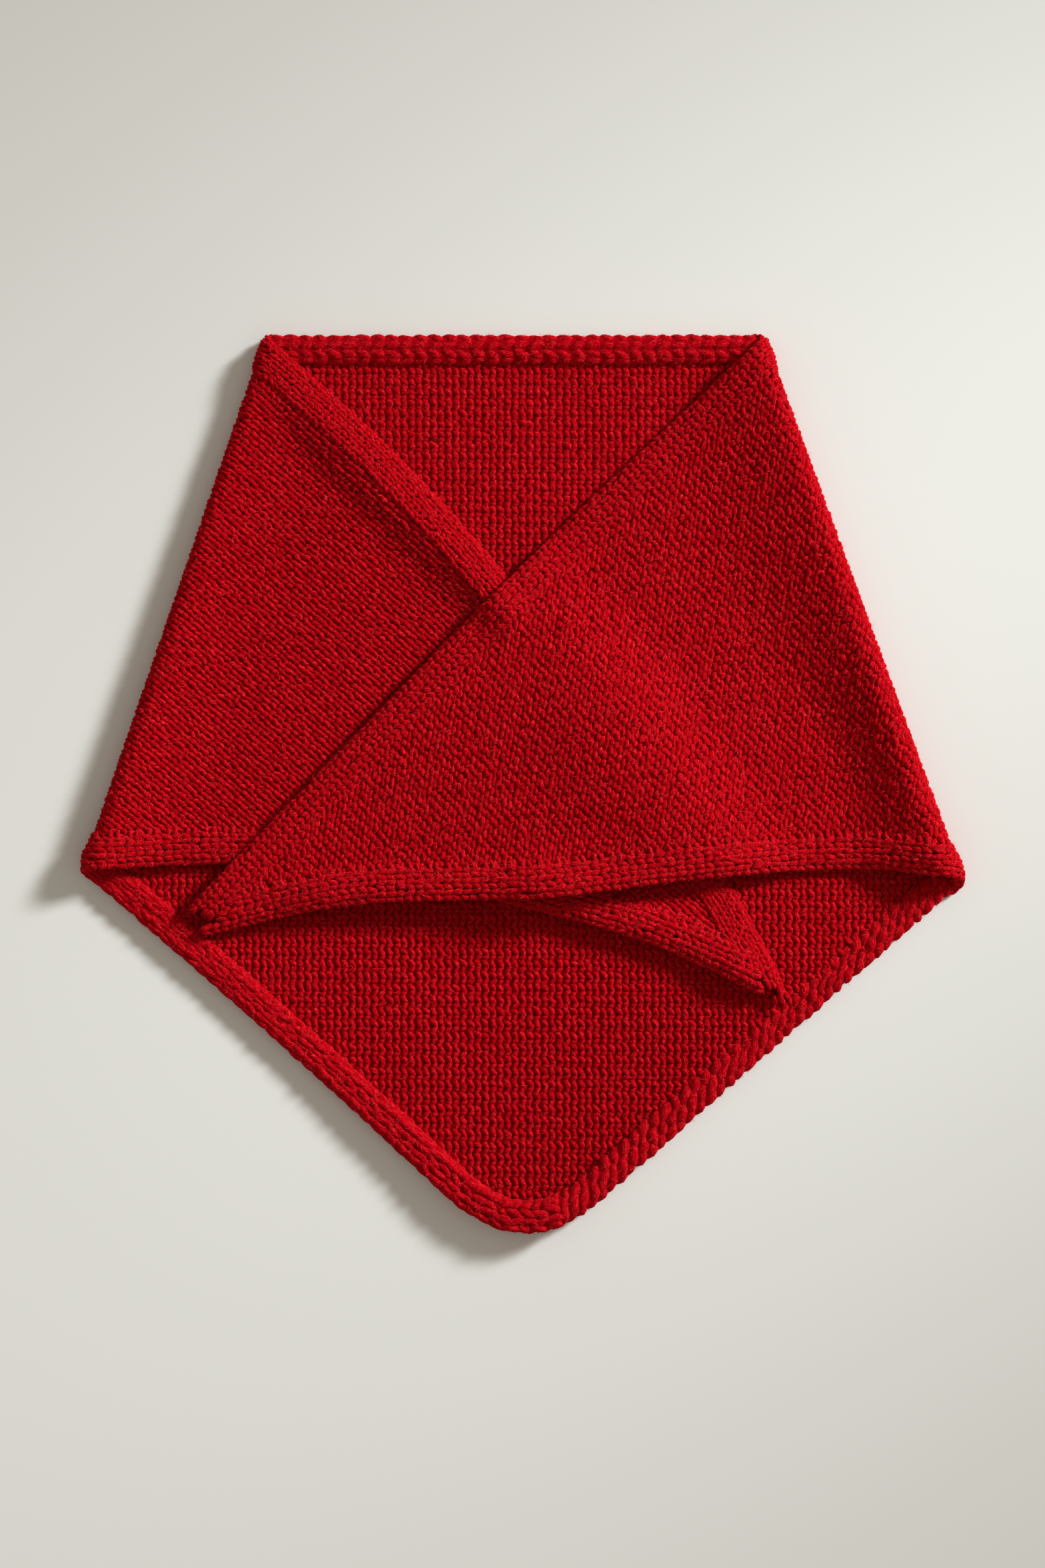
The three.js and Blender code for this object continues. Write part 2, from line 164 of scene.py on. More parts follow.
class Wing:
    """One folded wing: places on its cloth from its own flat frame.

    reach is how far in from the fold a place is, and t how far down the fold.
    """

    def __init__(self, corner, side, sections, rolls, lap, ridges, mirrored):
        along = side - corner
        self.corner, self.length = corner, np.hypot(*along)
        self.down = along / self.length
        self.inward = np.array([-self.down[1], self.down[0]])
        if mirrored:
            self.inward = -self.inward
        self.mirrored = mirrored
        self.rolls, self.lap = rolls, lap
        self.ridges = ridges
        self.upper = through(sections[:, 0], sections[:, 1])
        self.lower = through(sections[:, 0], sections[:, 2])

    def roll(self, t):
        """Radius of the fold."""
        return mix(*self.rolls, np.clip(t / self.length, 0, 1))

    def flat(self, x, y):
        """Flat frame of a place on the table."""
        dx, dy = x - self.corner[0], y - self.corner[1]
        t = dx * self.down[0] + dy * self.down[1]
        inset = dx * self.inward[0] + dy * self.inward[1]
        return inset - LIE + self.roll(t) * (np.pi / 2 - 1), t

    def inside(self, reach, t):
        """How far inside the wing's outline a place is; negative outside it."""
        gaps = []
        for edge, sign in ((self.upper, 1), (self.lower, -1)):
            slope = (edge(reach + 1) - edge(reach - 1)) / 2
            gaps.append(sign * (t - edge(reach)) / np.hypot(1, slope))
        return np.minimum(*gaps)

    def resting(self, x, y):
        """Height of the middle of the cloth where it has settled."""
        reach, t = self.flat(x, y)
        own = ridges_at(self.ridges, reach, t)
        if not self.mirrored:
            return REST_LEFT + own
        cover = ease((left.inside(*left.flat(x, y)) + CLIMB_MARGIN + CLIMB) / CLIMB)
        return mix(REST_RIGHT, left.resting(x, y) + STACK, cover) + own

    def middle(self, reach, t):
        """The middle of the cloth. A negative reach is the lower half of the roll."""
        roll = self.roll(t)
        turn = np.minimum(reach / roll, np.pi / 2)
        past = np.maximum(reach - roll * np.pi / 2, 0)
        inset = LIE + roll * (1 - np.cos(turn)) + past
        x = self.corner[0] + self.down[0] * t + self.inward[0] * inset
        y = self.corner[1] + self.down[1] * t + self.inward[1] * inset
        on_roll = LIE + roll * (1 + np.sin(turn))
        steep = np.exp(-(((t / self.length - STEEPEST) / STEEP_SPREAD) ** 2))
        fallen = ease(np.minimum(past / (self.lap[0] - self.lap[1] * steep), 1) ** LAP_BEND)
        settled = mix(on_roll, self.resting(x, y), fallen)
        return np.stack([x, y, np.where(past > 0, settled, on_roll)], -1)

    def place(self, reach, t, out):
        """A place on the cloth moved out from its middle, and the outward direction."""
        step = 0.4
        across = self.middle(reach + step, t) - self.middle(reach - step, t)
        along = self.middle(reach, t + step) - self.middle(reach, t - step)
        normal = unit(np.cross(across, along))
        if not self.mirrored:
            normal = -normal
        return self.middle(reach, t) + normal * np.asarray(out)[..., None], normal


left = Wing(NECK_LEFT, SIDE_LEFT, LEFT_SECTIONS, LEFT_ROLLS, LEFT_LAP, LEFT_RIDGES, False)
right = Wing(NECK_RIGHT, SIDE_RIGHT, RIGHT_SECTIONS, RIGHT_ROLLS, RIGHT_LAP, RIGHT_RIDGES, True)

# ---------------------------------------------------------------- meshes

LOWEST_YARN, LOWEST_FIBRE, LOWEST_CORE = 0.03, 0.05, 0.3  # heights above the table
UNEVEN_THICKNESS = 0.12  # of yarn, as a share of its radius


def new_object(name, verts, faces, material, uvs=None):
    """A smooth mesh of quads, in metres, with any number of named UV maps."""
    mesh = bpy.data.meshes.new(name)
    mesh.vertices.add(len(verts))
    mesh.vertices.foreach_set("co", (verts * MM).astype(np.float32).ravel())
    mesh.loops.add(faces.size)
    mesh.loops.foreach_set("vertex_index", faces.astype(np.int32).ravel())
    mesh.polygons.add(len(faces))
    loop_start = np.arange(0, faces.size, faces.shape[1], dtype=np.int32)
    mesh.polygons.foreach_set("loop_start", loop_start)
    mesh.update(calc_edges=True)
    for uv_name, values in (uvs or {}).items():
        layer = mesh.uv_layers.new(name=uv_name)
        layer.uv.foreach_set("vector", values[faces.ravel()].astype(np.float32).ravel())
    mesh.shade_smooth()
    mesh.materials.append(material)
    obj = bpy.data.objects.new(name, mesh)
    bpy.context.scene.collection.objects.link(obj)
    return obj


def tubes(row, col, path, arms, segments, turns, radius):
    """Yarn through stitches: vertices, faces, flat places and places in the yarn's skein.

    path(row, s) gives the places, outward directions, flat places and relative thickness at
    points s along a row. arms are the parts of a stitch that are made, and turns the angles
    round the yarn from its side over its outside.
    """
    count, sides = len(row), len(turns)
    ring_s = np.concatenate(
        [(col[:, None] + np.linspace(low, high, segments + 1)).ravel() for low, high in arms]
    )
    ring_row = np.tile(np.repeat(row, segments + 1), len(arms))
    ring = np.arange(len(ring_s)).reshape(count * len(arms), segments + 1)
    start, finish = ring[:, :-1].ravel(), ring[:, 1:].ravel()

    centre, out, flat, thick = path(ring_row, ring_s)
    ahead = 0.01
    along = unit(path(ring_row, ring_s + ahead)[0] - path(ring_row, ring_s - ahead)[0])
    side = unit(np.cross(along, out))
    up = np.cross(side, along)
    round_it = side[:, None] * np.cos(turns)[:, None] + up[:, None] * np.sin(turns)[:, None]
    thick = radius * thick * (1 + UNEVEN_THICKNESS * uneven(ring_row, ring_s, THICKNESS, 5.7))
    verts = (centre[:, None] + round_it * thick[:, None, None]).reshape(-1, 3)

    m = np.arange(sides - 1)
    corners = [
        finish[:, None] * sides + m,
        finish[:, None] * sides + m + 1,
        start[:, None] * sides + m + 1,
        start[:, None] * sides + m,
    ]
    down_the_yarn = np.repeat(ring_s * 5 + ring_row * 7, sides)  # rows start far apart
    skein = np.stack([down_the_yarn, np.tile(turns, len(ring_s))], -1)
    return verts, np.stack(corners, -1).reshape(-1, 4), np.repeat(flat, sides, 0), skein


def closed_shell(name, front, back, flat, material):
    """A closed body between two grids of points."""
    rows, columns = front.shape[:2]
    verts = np.concatenate([front.reshape(-1, 3), back.reshape(-1, 3)])
    grid = np.arange(rows * columns).reshape(rows, columns)
    top = np.stack([grid[:-1, :-1], grid[1:, :-1], grid[1:, 1:], grid[:-1, 1:]], -1).reshape(-1, 4)
    rim = np.concatenate([grid[:-1, 0], grid[-1, :-1], grid[:0:-1, -1], grid[0, :0:-1]])
    after = np.roll(rim, -1)
    shift = rows * columns
    wall = np.stack([rim, rim + shift, after + shift, after], -1)
    faces = np.concatenate([top, top[:, ::-1] + shift, wall])
    a, b, c = verts[faces[:, 0]], verts[faces[:, 1]], verts[faces[:, 2]]
    if (a * np.cross(b, c)).sum() < 0:  # inside out
        faces = faces[:, ::-1]
    flat = flat.reshape(-1, 2)
    bake = (flat - flat.min(0)) / np.ptp(flat, axis=0).max()
    return new_object(name, verts, faces, material, {"OFBake": np.concatenate([bake, bake])})


def sheet_area(a, b):
    """Area of a grid of flat places."""
    dx = (a[1:, 1:] - a[:-1, :-1], b[1:, 1:] - b[:-1, :-1])
    dy = (a[1:, :-1] - a[:-1, 1:], b[1:, :-1] - b[:-1, 1:])
    return np.abs(dx[0] * dy[1] - dx[1] * dy[0]).sum() / 2


# ---------------------------------------------------------------- materials


def wool(name, stops, shell=False, along=1.4):
    """Wool: streaks of colour and bumps of fibres.

    On yarn they run along it with its twist, and along is how often they change on the way.
    A shell has even ones all over.
    """
    material = bpy.data.materials.new(name)
    material.use_nodes = True
    nodes, links = material.node_tree.nodes, material.node_tree.links
    bsdf = nodes["Principled BSDF"]
    bsdf.inputs["Roughness"].default_value = 0.9
    bsdf.inputs["Specular IOR Level"].default_value = 0.01
    bsdf.inputs["Sheen Weight"].default_value = 0.0 if shell else 0.02
    bsdf.inputs["Sheen Roughness"].default_value = 0.6
    bsdf.inputs["Subsurface Weight"].default_value = 0.0 if shell else 0.2
    bsdf.inputs["Subsurface Radius"].default_value = (1.0, 0.1, 0.08)
    bsdf.inputs["Subsurface Scale"].default_value = 0.0012
    bsdf.inputs["Sheen Tint"].default_value = (1.0, 0.25, 0.2, 1)

    fibre = nodes.new("ShaderNodeTexNoise")
    fibre.inputs["Detail"].default_value = 2.5
    fibre.inputs["Roughness"].default_value = 0.6
    if shell:
        place = nodes.new("ShaderNodeTexCoord")
        fibre.inputs["Scale"].default_value = 1500
        links.new(place.outputs["Object"], fibre.inputs["Vector"])
    else:
        skein, twist = nodes.new("ShaderNodeUVMap"), nodes.new("ShaderNodeMapping")
        skein.uv_map = "skein"
        twist.inputs["Rotation"].default_value = (0, 0, np.radians(28))
        twist.inputs["Scale"].default_value = (along, 2.7, 1)
        links.new(skein.outputs["UV"], twist.inputs["Vector"])
        fibre.inputs["Scale"].default_value = 1.0
        fibre.inputs["Distortion"].default_value = 1.2
        links.new(twist.outputs["Vector"], fibre.inputs["Vector"])
    ramp = nodes.new("ShaderNodeValToRGB")
    while len(ramp.color_ramp.elements) < len(stops):
        ramp.color_ramp.elements.new(0.5)
    for element, (position, colour) in zip(ramp.color_ramp.elements, stops):
        element.position = position
        element.color = (*colour, 1)
    links.new(fibre.outputs["Fac"], ramp.inputs["Fac"])
    links.new(ramp.outputs["Color"], bsdf.inputs["Base Color"])

    bump = nodes.new("ShaderNodeBump")
    bump.inputs["Strength"].default_value = 0.7
    bump.inputs["Distance"].default_value = 0.0003
    links.new(fibre.outputs["Fac"], bump.inputs["Height"])
    links.new(bump.outputs["Normal"], bsdf.inputs["Normal"])
    return material


# The yarn's red, uneven along it at random; its lightest stop paints flecks of sheen on the
# fibres.
RED_AND_SHEEN = [(0.34, (0.22, 0.0, 0.002)), (0.53, (0.38, 0.0, 0.004)), (0.7, (0.76, 0.018, 0.026))]
# The shell under the yarn in a darker red: painted shade in the holes between the stitches.
SHADE = [(0.3, (0.17, 0.0, 0.001)), (0.7, (0.26, 0.0, 0.002))]
CORE = [(0.3, (0.2, 0.0, 0.002)), (0.7, (0.38, 0.0, 0.005))]
WOOL = wool("wool_knit", RED_AND_SHEEN)
EDGE_WOOL = wool("wool_cord_edge", RED_AND_SHEEN, along=3.2)
PAINTED_SHADE_WOOL = wool("wool_painted_shade", SHADE, shell=True)
FELT = wool("wool_felt", CORE, shell=True)

# ---------------------------------------------------------------- the knit

BEND, UP, ACROSS, OUT, THICKNESS = range(5)  # what is uneven
ROW_PHASES = rng.uniform(0, 2 * np.pi, (8, 2048))
OTHER_ROW = 977
GOLDEN = 1.618  # keeps the two waves from falling in step


def uneven(row, s, kind, speed):
    """Smooth noise from -1 to 1 along a row of stitches, different in each row."""
    rows = ROW_PHASES.shape[1]
    phase = ROW_PHASES[kind, np.asarray(row, int) % rows]
    other = ROW_PHASES[kind, np.asarray(row + OTHER_ROW, int) % rows]
    return (np.sin(s * speed + phase) + np.sin(s * speed * GOLDEN + other)) / 2


# A stitch is a function of a row and of s, the stitches along it. It returns how many
# courses up and how many wales across the yarn is, its height, and its relative thickness.
# rough is how uneven it is, in courses, wales and millimetres alike.


def vees(waist, height, depth, rough, lean=0.0):
    """The two legs of a plain stitch, which make a V. With lean both lean one way.

    waist is how far they bend together, height the V's, in courses, and depth how far the
    yarn dips at its ends and rises at its middle.
    """

    def stitch(row, s):
        bend = waist * (1 + 2 * rough * uneven(row, s, BEND, 7.1))
        up = row - height / 2 * np.cos(2 * np.pi * s) + 0.5 * rough * uneven(row, s, UP, 5.3)
        across = s + bend * np.sin(4 * np.pi * s) + 0.22 * rough * uneven(row, s, ACROSS, 8.3)
        across = across + lean * (up - row)
        out = -depth * np.cos(4 * np.pi * s) + 0.5 * rough * uneven(row, s, OUT, 6.1)
        return up, across, out, 1.08 - 0.28 * ((s % 0.5 - 0.25) / 0.18) ** 2

    return stitch


def strokes(length, lean, crown, rough, low=0.0, cross=1.0, aside=0.5, taper=0.25, pair=0.0,
            tuck=0.0):
    """A slanting arc in each stitch, and a second one, lower, between it and the next.

    length is in wales, lean is half the slant in courses, and crown is how high the arc
    stands. low, cross and aside are the second's: how much lower it is, its slant as a share
    of the first's, and how many courses it lies beside it. taper thins the ends, pair moves
    rows together in twos, and tuck tilts an arc up at its outer end.
    """

    def stitch(row, s):
        first = s % 1 < 0.5
        u = 2 * (s % 0.5) - 0.5
        column = np.floor(s)
        turned = np.where(first, 1, cross)
        up = row - 2 * lean * turned * u + pair * (-1.0) ** row + np.where(first, 0, aside)
        across = column + np.where(first, 0.5, 1.0) + u * np.where(first, length, length * 0.85)
        up = up + rough * uneven(row, column * 1.7 + u, UP, 5.3) * 0.7
        across = across + 0.4 * rough * uneven(row, column + 0.4 * u, ACROSS, 8.3)
        out = crown * (1 - (2 * u) ** 2 * 1.9) - np.where(first, 0, low) + tuck * u
        out = out + rough * uneven(row, column + u, OUT, 6.1)
        return up, across, out, 1 - taper * (2 * u) ** 2 - np.where(first, 0, 0.08)

    return stitch


# The parts of a stitch that show.
LEGS_OF_V = [(0.07, 0.43), (0.57, 0.93)]
STROKE = [(0.02, 0.48)]
BOTH_STROKES = [(0.02, 0.48), (0.52, 0.98)]
# The angles of the faces round the yarn, open where it lies on the cloth.
HALF = np.radians([-35, 30, 90, 150, 215])
LOW = np.radians([-30, 50, 130, 210])
ROUND = np.radians([-45, 0, 45, 90, 135, 180, 225])


def knit(name, surface, origin, way, wale, course, keep, material, stitch, arms=LEGS_OF_V,
         segments=5, turns=HALF, radius=1.0, skew=0.0, span=200, wander=0.16, thicken=0.0):
    """Stitches on a surface, which gives a place and its outward direction from (a, b, out).

    The rows follow each other along way, course apart, and the stitches in a row are wale
    apart. keep tells which places (a, b) have a stitch. skew slants the rows, wander moves
    the yarn softly about, and thicken is how much thicker it is for each millimetre of b.
    """
    way = np.array(way) / np.hypot(*way)
    over = np.array([-way[1], way[0]]) - way * skew
    row, col = np.meshgrid(np.arange(-span, span), np.arange(-span, span), indexing="ij")
    row, col = row.ravel(), col.ravel()
    centre = np.array(origin) + way * course * row[:, None] + over * wale * (col[:, None] + 0.5)
    kept = keep(centre[:, 0], centre[:, 1])
    row, col = row[kept], col[kept]

    def path(row, s):
        up, across, off, thick = stitch(row, s)
        flat = np.array(origin) + way * course * up[:, None] + over * wale * across[:, None]
        x, y = flat[:, 0], flat[:, 1]
        drift = [np.sin(x * 0.9 + 2 * np.sin(y * 0.37)), np.sin(y * 1.1 + x * 0.3)]
        flat = flat + wander * np.stack(drift, -1)
        thick = thick * (1 + thicken * flat[:, 1])
        centre, out = surface(flat[:, 0], flat[:, 1], off)
        return centre, out, flat, thick

    verts, faces, flat, skein = tubes(row, col, path, arms, segments, turns, radius)
    verts[:, 2] = np.maximum(verts[:, 2], LOWEST_YARN)
    low, high = flat.min(0), flat.max(0)
    bake = (flat - low) / (high - low).max()
    return new_object(name, verts, faces, material, {"OFBake": bake, "skein": skein * (1, radius)})


# ---------------------------------------------------------------- the wings

SLACK = 1.5  # the stitches run this far under a cord edge
HIDDEN = 10  # this far under a wing's outline nothing shows
HALF_SHELL = 0.3  # half the thickness of the shell under the yarn
SHELL_COLUMNS = 60


def wing_keep(wing, end):
    """Where a wing has stitches: inside its cord edges, up to a reach, and not under the
    other wing."""

    def keep(reach, t):
        start = -wing.roll(t) * np.pi / 2
        seen = wing.inside(reach, t) > EDGE_WIDTH - SLACK
        seen &= (reach > start) & (reach < end)
        if wing is left:
            x, y = np.moveaxis(wing.middle(reach, t)[..., :2], -1, 0)
            seen &= right.inside(*right.flat(x, y)) < HIDDEN
        return seen

    return keep


def wing_ground(name, wing, end):
    """Thin shell under the yarn of a wing, from below its roll to its free end."""
    steps, on_roll, inset = 90, 0.12, 1.7  # on_roll is the share of the steps round the roll
    u, v = np.meshgrid(np.linspace(0, 1, steps), np.linspace(0, 1, SHELL_COLUMNS), indexing="ij")
    fold_t = mix(wing.upper(0.0), wing.lower(0.0), v)
    quarter = wing.roll(fold_t) * np.pi / 2
    round_the_roll = mix(-quarter, quarter, u / on_roll)
    over_the_back = mix(quarter, end, (u - on_roll) / (1 - on_roll))
    reach = np.where(u < on_roll, round_the_roll, over_the_back)

    def beside(edge, offset):
        slope = (edge(reach + 1) - edge(reach - 1)) / 2
        return edge(reach) + offset * np.hypot(1, slope)

    t = mix(beside(wing.upper, inset), beside(wing.lower, -inset), v)
    front, _ = wing.place(reach, t, np.full(reach.shape, HALF_SHELL))
    back, _ = wing.place(reach, t, np.full(reach.shape, -HALF_SHELL))
    flat = np.stack([reach, t], -1)
    return closed_shell(name, front, back, flat, PAINTED_SHADE_WOOL), sheet_area(reach, t)


# Each wing's gauge, which way its courses follow each other in its flat frame, and the
# reach at which its stitches and the shell under them end, in front of the cord at its tip.
LEFT_WALE, LEFT_COURSE, LEFT_WAY = 3.93, 2.71, (0.927, 0.3765)
RIGHT_WALE, RIGHT_COURSE, RIGHT_WAY = 4.31, 2.74, (0.936, 0.352)
LEFT_END, LEFT_SHELL_END = 246, 258
RIGHT_END, RIGHT_SHELL_END = 262, 270
WING_SKEW = 0.07

left_ground, left_area = wing_ground("left_wing_ground", left, LEFT_SHELL_END)
right_ground, right_area = wing_ground("right_wing_ground", right, RIGHT_SHELL_END)
left_knit = knit("left_wing_knit", left.place, (0, 0), LEFT_WAY, LEFT_WALE, LEFT_COURSE,
                 wing_keep(left, LEFT_END), WOOL, vees(0.15, 1.15, 0.38, 0.3, lean=-0.04),
                 radius=1.03, skew=WING_SKEW)
right_knit = knit("right_wing_knit", right.place, (0, 0), RIGHT_WAY, RIGHT_WALE, RIGHT_COURSE,
                  wing_keep(right, RIGHT_END), WOOL, vees(0.15, 1.1, 0.34, 0.33, lean=0.4),
                  radius=1.1, skew=WING_SKEW)

# ---------------------------------------------------------------- cord edges of the wings


class CordEdge:
    """Both kinds of cord edge: places are how far along it and how far over it they are."""

    def surface(self, along, over, out):
        """A place on it moved out, and the outward direction."""
        step = 0.3
        centre = self.locate(along, over, out)
        return centre, unit(self.locate(along, over, out + step) - centre)


class WingEdge(CordEdge):
    """A wing's cord edge: how far along it, and how far over it from its seam to its rim.

    sign points from the edge into the wing, ends are the reach at which its outer and its
    inner side stop, extra is how much further its stitches go, and crown how high it swells.
    """

    HALF = 0.8  # of its thickness, to the middle of the yarn
    RIM = 1.9  # from the outline to where the rim starts to turn
    STEPS = 500
    BEYOND = 6  # how much further than its ends it is worked out

    def __init__(self, wing, edge, sign, ends, extra, crown):
        self.wing, self.edge, self.sign, self.ends, self.extra = wing, edge, sign, ends, extra
        self.crown = crown
        under_roll = -wing.roll(edge(0.0)) * np.pi / 2
        self.reach = np.linspace(under_roll, max(ends) + self.BEYOND, self.STEPS)
        gaps = np.hypot(np.diff(self.reach), np.diff(edge(self.reach)))
        self.at = np.concatenate([[0], np.cumsum(gaps)])

    def section(self, over, out):
        """Inset from the outline, and height off the middle of the cloth."""
        level = EDGE_WIDTH - self.RIM
        turn = np.clip((over - level) / self.HALF, 0, np.pi)
        beyond = np.maximum(over - level - np.pi * self.HALF, 0)
        crown = self.crown * np.sin(np.pi * np.clip((over + 0.5) / (level + 1.5), 0, 1))
        reach = self.HALF + out
        inset = EDGE_WIDTH - np.minimum(over, level) - np.sin(turn) * reach + beyond
        return inset, np.cos(turn) * reach + crown * np.cos(turn / 2)

    def locate(self, along, over, out):
        reach = np.interp(along, self.at, self.reach)
        slope = (self.edge(reach + 1) - self.edge(reach - 1)) / 2
        inset, rise = self.section(over, out)
        inset = inset * self.sign / np.hypot(1, slope)
        return self.wing.place(reach - slope * inset, self.edge(reach) + inset, rise)[0]

    def keep(self, least, most):
        """Where it has stitches: between two places over it, and along all of it."""

        def kept(along, over):
            reach = np.interp(along, self.at, self.reach)
            share = np.clip(self.section(over, 0)[0] / EDGE_WIDTH, 0, 1)
            seen = (over > least) & (over < most) & (along > 0.5)
            return seen & (reach < mix(*self.ends, share) + self.extra)

        return kept


HEM_WALE, HEM_COURSE = 3.9, 3.45
NECK_WALE, NECK_COURSE = 3.1, 2.8
ROUND_THE_RIM = 15  # over a cord edge, all the way to its underside
WING_EDGES = {
    "left_wing_neck_edge": WingEdge(left, left.upper, 1, (263.4, 250.3), 1.5, 0.3),
    "left_wing_hem_edge": WingEdge(left, left.lower, -1, (249, 234.5), 7, 0.7),
    "right_wing_neck_edge": WingEdge(right, right.upper, 1, (273.5, 268.7), 0.5, 0.3),
    "right_wing_hem_edge": WingEdge(right, right.lower, -1, (268.4, 249.5), 6, 0.7),
}
edge_pieces = {}
for node, cord in WING_EDGES.items():
    if "hem" in node:
        made = knit(node + "_knit", cord.surface, (0, 0.1), (1, 0), HEM_WALE, HEM_COURSE,
                    cord.keep(0, ROUND_THE_RIM), EDGE_WOOL, vees(0.02, 1.22, 0.3, 0.3),
                    radius=1.15)
        seam = knit(node + "_seam", cord.surface, (0, -HEM_WALE * 0.6), (1, 0), HEM_WALE,
                    HEM_COURSE, cord.keep(-2, 0), EDGE_WOOL,
                    strokes(0.85, 0.14, 0.55, 0.1, pair=0.16), arms=STROKE, radius=0.95)
        edge_pieces[node] = [made, seam]
    else:
        made = knit(node + "_knit", cord.surface, (0, -0.4), (1, 0), NECK_WALE, NECK_COURSE,
                    cord.keep(-1.6, ROUND_THE_RIM), EDGE_WOOL, vees(0.21, 1.3, 0.4, 0.3),
                    radius=0.95)
        edge_pieces[node] = [made]

# ---------------------------------------------------------------- the back


def bezier(a, b, c, u):
    u = u[:, None]
    return (1 - u) ** 2 * a + 2 * u * (1 - u) * b + u * u * c


def evenly(points, count):
    """The same line with evenly spaced points."""
    gaps = np.hypot(*np.diff(points, axis=0).T)
    at = np.concatenate([[0], np.cumsum(gaps)])
    wanted = np.linspace(0, at[-1], count)
    return np.stack([np.interp(wanted, at, points[:, k]) for k in (0, 1)], -1), at[-1]


def legs_line():
    """The outline of the back from the left side corner round the point to the right."""
    near, far = mix(POINT_LEFT, POINT_TIP, 0.5), mix(POINT_RIGHT, POINT_TIP, 0.5)
    middle = mix(near, far, 0.5)
    u = np.linspace(0, 1, 200)
    parts = [
        bezier(SIDE_LEFT, LEG_BOW, POINT_LEFT, u),
        bezier(POINT_LEFT, near, middle, u),
        bezier(POINT_RIGHT, far, middle, u)[::-1],
        mix(SIDE_RIGHT, POINT_RIGHT, u[:, None])[::-1],
    ]
    return np.concatenate([p[:-1] for p in parts[:-1]] + [parts[-1]])


LEGS = legs_line()
LEGS_COARSE, _ = evenly(LEGS, 60)
TIP = np.argmin(LEGS[:, 1])


def beside_roll(wing, y):
    """Where the back meets a wing's roll, at y."""
    gap = 0.3
    inset = LIE + wing.roll((wing.corner[1] - y) / -wing.down[1]) + gap
    t = (wing.corner[1] + wing.inward[1] * inset - y) / -wing.down[1]
    return wing.corner + wing.down * t + wing.inward * inset


def inside_line(points, x, y):
    """Signed distance inside a line of points, to its left."""
    best = np.full(np.shape(x), 1e9)
    sign = np.ones(np.shape(x))
    for a, b in zip(points[:-1], points[1:]):
        d = b - a
        u = np.clip(((x - a[0]) * d[0] + (y - a[1]) * d[1]) / (d @ d), 0, 1)
        away = np.hypot(x - a[0] - u * d[0], y - a[1] - u * d[1])
        turned = np.where(d[0] * (y - a[1]) - d[1] * (x - a[0]) > 0, 1, -1)
        sign = np.where(away < best, turned, sign)
        best = np.minimum(best, away)
    return best * sign


def inset_from_fold(wing, x, y):
    """How far in from the outside of a wing's fold a place on the table is."""
    dx, dy = x - wing.corner[0], y - wing.corner[1]
    return dx * wing.inward[0] + dy * wing.inward[1]


def back_surface(x, y, out):
    """A place on the back moved out from its middle, and the outward direction."""
    x, y = np.asarray(x, float), np.asarray(y, float)
    z = back_height(x, y)
    step = 0.5
    slope_x = (back_height(x + step, y) - back_height(x - step, y)) / (2 * step)
    slope_y = (back_height(x, y + step) - back_height(x, y - step)) / (2 * step)
    normal = unit(np.stack([-slope_x, -slope_y, np.ones_like(slope_x)], -1))
    middle = np.stack([x, y, z], -1)
    return middle + normal * np.asarray(out)[..., None], normal


WIDEN = 0.000275  # of the back's wales towards the point, for each millimetre


def wider(y):
    return y - WIDEN * y * y


def purl_surface(x, y, out):
    """The back's surface for its stitches, whose wales are wider towards the point."""
    return back_surface(x, wider(y), out)


BACK_REST = 1.75  # middle of the back's cloth where it lies on the table
SWELL = 2.2  # how much higher it is beside the right leg
SWELL_LINE = (100, -75), (0.9, 0.44)  # a place on the swell's crest, and the way off it
SWELL_SPREAD, SWELL_FADE = 55, 60
SWELL_BOTTOM, SWELL_TOP = -175, -10  # where it fades out along its crest, in y


def back_height(x, y):
    """Middle of the back's cloth."""
    (crest_x, crest_y), (off_x, off_y) = SWELL_LINE
    away = (x - crest_x) * off_x + (y - crest_y) * off_y
    swell = SWELL * np.exp(-((away / SWELL_SPREAD) ** 2))
    fade = ease((y - SWELL_BOTTOM) / SWELL_FADE) * ease((SWELL_TOP - y) / SWELL_FADE)
    return BACK_REST + swell * fade


UNDER_LEGS = 2.2  # the back's stitches run this far under its legs' cord edges
OFF_ROLL = 4.0  # and start this far in from the inner side of a roll
TIP_REACH = 262  # past this a wing is too narrow to hide anything


def back_keep(seen):
    """Where the back has stitches: those that show, or those that the wings hide."""

    def keep(x, y):
        y = wider(y)
        in_legs = inside_line(LEGS_COARSE, x, y) > BACK_EDGE_WIDTH - UNDER_LEGS
        in_neck = y < NECK_LEFT[1] - BACK_EDGE_WIDTH + SLACK
        in_rolls = np.ones(np.shape(x), bool)
        covered = np.zeros(np.shape(x), bool)
        for wing in (left, right):
            reach, t = wing.flat(x, y)
            in_rolls &= inset_from_fold(wing, x, y) > LIE + OFF_ROLL
            covered |= (wing.inside(reach, t) > HIDDEN) & (reach < TIP_REACH)
        return in_legs & in_neck & in_rolls & (covered != seen)

    return keep


BACK_WALE, BACK_COURSE = 4.25, 2.74
PURL = strokes(0.72, 0.4, 0.42, 0.16, low=0.12, cross=-0.9, aside=0.0, taper=0.3)
back_knit = knit("back_knit", purl_surface, (0, 0), (1, 0), BACK_WALE, BACK_COURSE,
                 back_keep(True), WOOL, PURL, arms=BOTH_STROKES, radius=1.24, thicken=0.0008)
back_knit_under = knit("back_knit_under", purl_surface, (0, 0), (1, 0), BACK_WALE, BACK_COURSE,
                       back_keep(False), WOOL, PURL, arms=STROKE, turns=LOW, segments=3,
                       radius=1.2)


